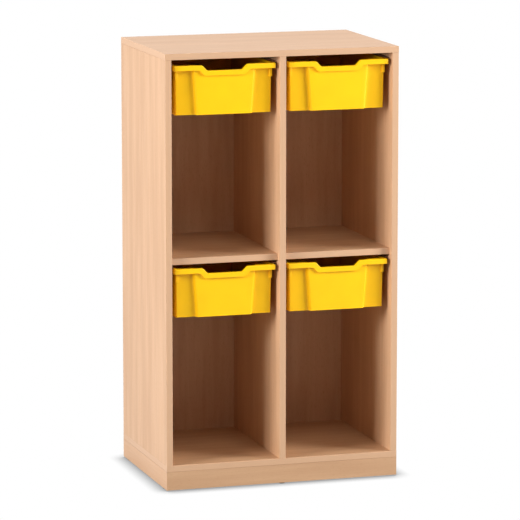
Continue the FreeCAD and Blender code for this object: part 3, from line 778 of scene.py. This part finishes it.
def screw_tree():
    """Pan-head screws with a cross recess; the head stands on its seat and the shank hangs below it."""
    tree, given = new_tree(
        "Cross recess screws", ("Head radius", "Head height", "Shank radius", "Shank length")
    )
    radius, height = given["Head radius"], given["Head height"]
    thin, long = given["Shank radius"], given["Shank length"]

    # The head is the upper half of a flattened ball
    ball = add(
        tree, "GeometryNodeMeshUVSphere", {"Segments": HEAD_SIDES, "Rings": HEAD_RINGS, "Radius": 1}
    )
    flat = add(tree, "ShaderNodeCombineXYZ", {"X": radius, "Y": radius, "Z": height})
    dome = add(tree, "GeometryNodeTransform", {"Geometry": ball, "Scale": flat})
    side = add(tree, "ShaderNodeMath", {0: radius, 1: BLOCK_SIDE}, operation="MULTIPLY")
    cube = add(tree, "ShaderNodeCombineXYZ", {"X": side, "Y": side, "Z": side})
    block = add(tree, "GeometryNodeMeshCube", {"Size": cube})
    above = raised(tree, block, radius, BLOCK_SIDE / 2)
    head = add(
        tree, "GeometryNodeMeshBoolean", {"Mesh 2": [dome, above]}, operation="INTERSECT", solver="EXACT"
    )

    # Two crossed arms are cut out of it
    arm_long = add(tree, "ShaderNodeMath", {0: radius, 1: RECESS_LONG}, operation="MULTIPLY")
    arm_wide = add(tree, "ShaderNodeMath", {0: radius, 1: RECESS_WIDE}, operation="MULTIPLY")
    arm_size = add(tree, "ShaderNodeCombineXYZ", {"X": arm_long, "Y": arm_wide, "Z": height})
    arm = add(tree, "GeometryNodeMeshCube", {"Size": arm_size})
    cross = [raised(tree, arm, height, RECESS_MIDDLE, Rotation=(0, 0, turn)) for turn in (0, math.pi / 2)]
    recessed = add(
        tree, "GeometryNodeMeshBoolean", {"Mesh 1": head, "Mesh 2": cross},
        operation="DIFFERENCE", solver="EXACT",
    )

    # The shank hangs below the seat and ends in a point
    point = add(tree, "ShaderNodeMath", {0: thin, 1: POINT_LONG}, operation="MULTIPLY")
    straight = add(tree, "ShaderNodeMath", {0: long, 1: point}, operation="SUBTRACT")
    rod = add(
        tree, "GeometryNodeMeshCylinder", {"Vertices": SHANK_SIDES, "Radius": thin, "Depth": straight}
    )
    cone = add(
        tree, "GeometryNodeMeshCone",
        {"Vertices": SHANK_SIDES, "Radius Top": thin, "Radius Bottom": TIP_RADIUS, "Depth": point},
    )
    shank = raised(tree, rod, straight, -0.5)
    tip = raised(tree, cone, long, -1)
    end_tree(tree, given, [recessed, shank, tip])
    return tree


def glide_tree():
    """Round nail-in glides: a disc with a chamfered lower edge below its seat, and a pin above it."""
    tree, given = new_tree("Nail-in glides", ("Radius", "Height", "Chamfer", "Pin radius", "Pin length"))
    radius, height, chamfer, pin_length = (
        given[name] for name in ("Radius", "Height", "Chamfer", "Pin length")
    )
    narrow = add(tree, "ShaderNodeMath", {0: radius, 1: chamfer}, operation="SUBTRACT")
    foot = add(
        tree, "GeometryNodeMeshCone",
        {"Vertices": GLIDE_SIDES, "Radius Top": radius, "Radius Bottom": narrow, "Depth": chamfer},
    )
    thick = add(tree, "ShaderNodeMath", {0: height, 1: chamfer}, operation="SUBTRACT")
    body = add(
        tree, "GeometryNodeMeshCylinder", {"Vertices": GLIDE_SIDES, "Radius": radius, "Depth": thick}
    )
    pin = add(
        tree, "GeometryNodeMeshCylinder",
        {"Vertices": PIN_SIDES, "Radius": given["Pin radius"], "Depth": pin_length},
    )
    shapes = [
        raised(tree, foot, height, -1),
        raised(tree, body, thick, -0.5),
        raised(tree, pin, pin_length, 0.5),
    ]
    end_tree(tree, given, shapes)
    return tree


def grown_mesh(name, tree, seats, ways, sizes, material):
    """Runs a geometry tree on seats and gives back its result as a plain mesh."""
    points = bpy.data.meshes.new(f"{name}_seats")
    points.from_pydata(seats, [], [])
    attribute = points.attributes.new(WAY, "FLOAT_VECTOR", "POINT")
    for entry, way in zip(attribute.data, ways):
        entry.vector = way
    carrier = bpy.data.objects.new(f"{name}_carrier", points)
    bpy.context.scene.collection.objects.link(carrier)
    modifier = carrier.modifiers.new("Pieces", "NODES")
    modifier.node_group = tree
    given = {**sizes, "Material": material}
    for item in tree.interface.items_tree:
        if item.in_out == "INPUT" and item.name in given:
            modifier[item.identifier] = given[item.name]
    seen = carrier.evaluated_get(bpy.context.evaluated_depsgraph_get())
    mesh = bpy.data.meshes.new_from_object(seen)
    mesh.name = name
    carrier.modifiers.remove(modifier)
    bpy.data.objects.remove(carrier)
    bpy.data.meshes.remove(points)
    mesh.shade_smooth()
    mesh.set_sharp_from_angle(angle=FITTING_SHARP)
    return mesh


# Studio

WHITE = (1, 1, 1, 1)

# Half the width of the floor, and the lamps' distance from the middle of the shelf, in metres
FLOOR_REACH = 40
LAMP_DISTANCE = 5

# Share of open sky at which the floor's contact shadow is darkest
CLOSED_SKY = 0.1

# The camera's place in metres, and its tilt down and its turn to the right in degrees
CAMERA_PLACE = (-3.2251, -10.3897, 2.4811)
CAMERA_TILT = 9.612
CAMERA_TURN = 17.270
SENSOR_WIDTH = 36


def seen_share(tree):
    """One for rays from the camera and for mirrored and refracted ones, which see the studio as white."""
    ray = add(tree, "ShaderNodeLightPath").outputs
    either = add(
        tree, "ShaderNodeMath", {0: ray["Is Camera Ray"], 1: ray["Is Glossy Ray"]}, operation="MAXIMUM"
    )
    return add(tree, "ShaderNodeMath", {0: either, 1: ray["Is Transmission Ray"]}, operation="MAXIMUM")


def studio_floor(look):
    """Seamless studio sheet: pale paper to the light, seen as white but for a soft shadow round the foot."""
    material = bpy.data.materials.new("White studio sheet")
    tree = empty_tree(material)
    sheet = add(tree, "ShaderNodeBsdfDiffuse", {"Color": opaque(look.floor)})
    sky = add(tree, "ShaderNodeAmbientOcclusion", {"Distance": look.shadow}, samples=16)
    open_share = add(tree, "ShaderNodeMapRange", {"Value": sky.outputs["AO"], "From Min": CLOSED_SKY})
    white = add(tree, "ShaderNodeMath", {0: open_share, 1: look.least_white}, operation="MAXIMUM")
    glow = add(tree, "ShaderNodeEmission", {"Color": WHITE, "Strength": white})
    seen = add(tree, "ShaderNodeMixShader", {0: seen_share(tree), 1: sheet, 2: glow})
    add(tree, "ShaderNodeOutputMaterial", {"Surface": seen})
    return material


def lay_floor(scene, look):
    """Lays the studio sheet under the shelf."""
    reach = FLOOR_REACH
    corners = [(-reach, -reach, 0), (reach, -reach, 0), (reach, reach, 0), (-reach, reach, 0)]
    sheet = bpy.data.meshes.new("floor_sheet")
    sheet.from_pydata(corners, [], [(0, 1, 2, 3)])
    sheet.materials.append(studio_floor(look))
    floor = bpy.data.objects.new("floor_sheet", sheet)
    scene.collection.objects.link(floor)


def whiten_world(scene):
    """A world that is seen as white and sheds no light."""
    scene.world = bpy.data.worlds.new("White studio")
    tree = empty_tree(scene.world)
    dim = add(tree, "ShaderNodeBackground", {"Color": WHITE, "Strength": 0})
    white = add(tree, "ShaderNodeBackground", {"Color": WHITE, "Strength": 1})
    seen = add(tree, "ShaderNodeMixShader", {0: seen_share(tree), 1: dim, 2: white})
    add(tree, "ShaderNodeOutputWorld", {"Surface": seen})


def soft_box(name, azimuth, elevation, width, height, energy):
    """A lamp that looks at the middle of the shelf, so many degrees to the right of its front and up."""
    light = bpy.data.lights.new(name, "AREA")
    light.shape = "RECTANGLE"
    light.size = width
    light.size_y = height
    light.energy = energy
    turn, lift = math.radians(azimuth), math.radians(elevation)
    way = Vector((math.sin(turn) * math.cos(lift), -math.cos(turn) * math.cos(lift), math.sin(lift)))
    lamp = bpy.data.objects.new(name, light)
    lamp.location = (CAD_BOX[0] + CAD_BOX[1]) / 2 + way * LAMP_DISTANCE
    lamp.rotation_euler = (-way).to_track_quat("-Z", "Y").to_euler()
    bpy.context.scene.collection.objects.link(lamp)


def set_camera(scene, look):
    """Sets the camera at the photograph's viewing angle."""
    lens = bpy.data.cameras.new("camera")
    lens.lens = look.lens
    lens.sensor_width = SENSOR_WIDTH
    camera = bpy.data.objects.new("camera", lens)
    camera.location = CAMERA_PLACE
    camera.rotation_euler = (math.radians(90 - CAMERA_TILT), 0, math.radians(-CAMERA_TURN))
    scene.collection.objects.link(camera)
    scene.camera = camera


# Operators


class BAGSHELF_OT_boards(Operator):
    """Finish the boards, the plinth and their edge bands in beech"""

    bl_idname = "bag_shelf.boards"
    bl_label = "Boards and bands"

    def execute(self, context):
        look = context.scene.bag_shelf_beech
        for grain, nodes in GRAIN_BOARDS.items():
            name = f"Beech decor melamine, grain along {grain}"
            spread = look.upright_spread if grain == "z" else look.level_spread
            paint(nodes, beech_board(name, grain, look.light, look.dark, spread, look))
        # The darker print on the pocket floors and on the plinth's front and rear is painted shade
        name = "Beech decor melamine with painted shade, grain along x"
        finish = beech_board(name, "x", look.painted_shade_light, look.painted_shade_dark, look.level_spread, look)
        paint(PAINTED_SHADE_BOARDS, finish)
        for grain, nodes in GRAIN_BANDS.items():
            paint(nodes, edge_band(f"Beech ABS edge band, along {grain}", grain, look))
        paint(SOLID_BEECH, solid_beech(look))
        return {"FINISHED"}


class BAGSHELF_OT_trays(Operator):
    """Mould the four trays with rounded edges"""

    bl_idname = "bag_shelf.trays"
    bl_label = "Trays"

    def execute(self, context):
        look = context.scene.bag_shelf_tray
        finish = moulded_plastic(
            "Yellow polypropylene, moulded", look.colour, roughness=0.36, grit=0.9 * MM
        )
        for tray in TRAYS:
            low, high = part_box(tray)
            mesh = tray_mesh(f"{tray}_skin", Vector(((low.x + high.x) / 2, low.y, low.z)), look)
            mesh.materials.append(finish)
            new_piece(f"{tray}_skin", mesh, tray, "tray", tray)
        return {"FINISHED"}


class BAGSHELF_OT_runners(Operator):
    """Finish the runners that the trays slide in"""

    bl_idname = "bag_shelf.runners"
    bl_label = "Runners"

    def execute(self, context):
        look = context.scene.bag_shelf_fittings
        finish = moulded_plastic(
            "Brown polystyrene, extruded", look.runner, roughness=0.45, grit=1.2 * MM
        )
        nodes = [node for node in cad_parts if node.startswith("runner_") and node not in SCREWS]
        paint(nodes, finish)
        return {"FINISHED"}


class BAGSHELF_OT_screws(Operator):
    """Set the screws of the back, the plinth and the runners"""

    bl_idname = "bag_shelf.screws"
    bl_label = "Screws"

    def execute(self, context):
        look = context.scene.bag_shelf_fittings
        finish = zinc_plate(look)
        tree = screw_tree()
        for node, axis in SCREWS.items():
            facts = [screw_facts(points, axis, look.head_height) for points in solid_points(node)]
            seats, ways, heads, shanks, lengths = zip(*facts)
            sizes = {
                "Head radius": max(heads),
                "Head height": look.head_height,
                "Shank radius": max(shanks),
                "Shank length": max(lengths),
            }
            mesh = grown_mesh(f"{node}_cross_recess", tree, seats, ways, sizes, finish)
            new_piece(f"{node}_cross_recess", mesh, CABINET, "screw", node)
        return {"FINISHED"}


class BAGSHELF_OT_glides(Operator):
    """Set the glides under the plinth"""

    bl_idname = "bag_shelf.glides"
    bl_label = "Glides"

    def execute(self, context):
        look = context.scene.bag_shelf_fittings
        finish = moulded_plastic("Grey polyethylene, moulded", look.glide, roughness=0.5, grit=1.2 * MM)
        plinth_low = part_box("plinth_front")[0].z
        seats = []
        for points in solid_points("floor_glides"):
            low, high = box_of(points)
            middle = (low + high) / 2
            seats.append(Vector((middle.x, middle.y, plinth_low)))
            pin = max(abs(point.x - middle.x) for point in points if point.z > plinth_low + MM)
        # The glides are alike, so the last one gives the sizes
        sizes = {
            "Radius": (high.x - low.x) / 2,
            "Height": plinth_low,
            "Chamfer": look.glide_edge,
            "Pin radius": pin,
            "Pin length": high.z - plinth_low,
        }
        ways = [(0, 0, 1)] * len(seats)
        mesh = grown_mesh("floor_glides_moulded", glide_tree(), seats, ways, sizes, finish)
        new_piece("floor_glides_moulded", mesh, CABINET, "glide", "floor_glides")
        return {"FINISHED"}


class BAGSHELF_OT_stage(Operator):
    """Set up the white floor, the soft light and the camera"""

    bl_idname = "bag_shelf.stage"
    bl_label = "Stage"

    def execute(self, context):
        scene = context.scene
        look = scene.bag_shelf_studio
        lay_floor(scene, look)
        whiten_world(scene)
        soft_box("left", azimuth=-73, elevation=14, width=2.0, height=1.4, energy=look.left_power)
        soft_box("high_rear", azimuth=180, elevation=75, width=1.6, height=1.6, energy=look.rear_power)
        soft_box("right", azimuth=59, elevation=15, width=2.0, height=1.8, energy=look.right_power)
        soft_box("high_front", azimuth=5, elevation=48, width=1.8, height=1.8, energy=look.front_power)
        set_camera(scene, look)
        scene.view_settings.view_transform = "Standard"
        return {"FINISHED"}


class BAGSHELF_PT_panel(Panel):
    """Sizes, colours and makers of the bag shelf"""

    bl_idname = "BAGSHELF_PT_panel"
    bl_label = "Bag shelf"
    bl_space_type = "VIEW_3D"
    bl_region_type = "UI"
    bl_category = "Bag shelf"

    def draw(self, context):
        for name, (kind, title) in LOOKS.items():
            part = self.layout.box()
            part.label(text=title)
            group = getattr(context.scene, name)
            for key in kind.__annotations__:
                part.prop(group, key)
        for operator in OPERATORS:
            self.layout.operator(operator.bl_idname)


LOOKS = {
    "bag_shelf_beech": (BeechLook, "Beech"),
    "bag_shelf_tray": (TrayLook, "Trays"),
    "bag_shelf_fittings": (FittingLook, "Fittings"),
    "bag_shelf_studio": (StudioLook, "Studio"),
}
OPERATORS = (
    BAGSHELF_OT_boards,
    BAGSHELF_OT_trays,
    BAGSHELF_OT_runners,
    BAGSHELF_OT_screws,
    BAGSHELF_OT_glides,
    BAGSHELF_OT_stage,
)


def register():
    for name, (kind, title) in LOOKS.items():
        bpy.utils.register_class(kind)
        setattr(bpy.types.Scene, name, PointerProperty(type=kind))
    for kind in (*OPERATORS, BAGSHELF_PT_panel):
        bpy.utils.register_class(kind)


def unregister():
    for kind in (BAGSHELF_PT_panel, *reversed(OPERATORS)):
        bpy.utils.unregister_class(kind)
    for name, (kind, title) in LOOKS.items():
        delattr(bpy.types.Scene, name)
        bpy.utils.unregister_class(kind)


def main():
    register()
    bpy.ops.bag_shelf.boards()
    bpy.ops.bag_shelf.trays()
    bpy.ops.bag_shelf.runners()
    bpy.ops.bag_shelf.screws()
    bpy.ops.bag_shelf.glides()
    bpy.ops.bag_shelf.stage()


if __name__ == "__main__":
    main()
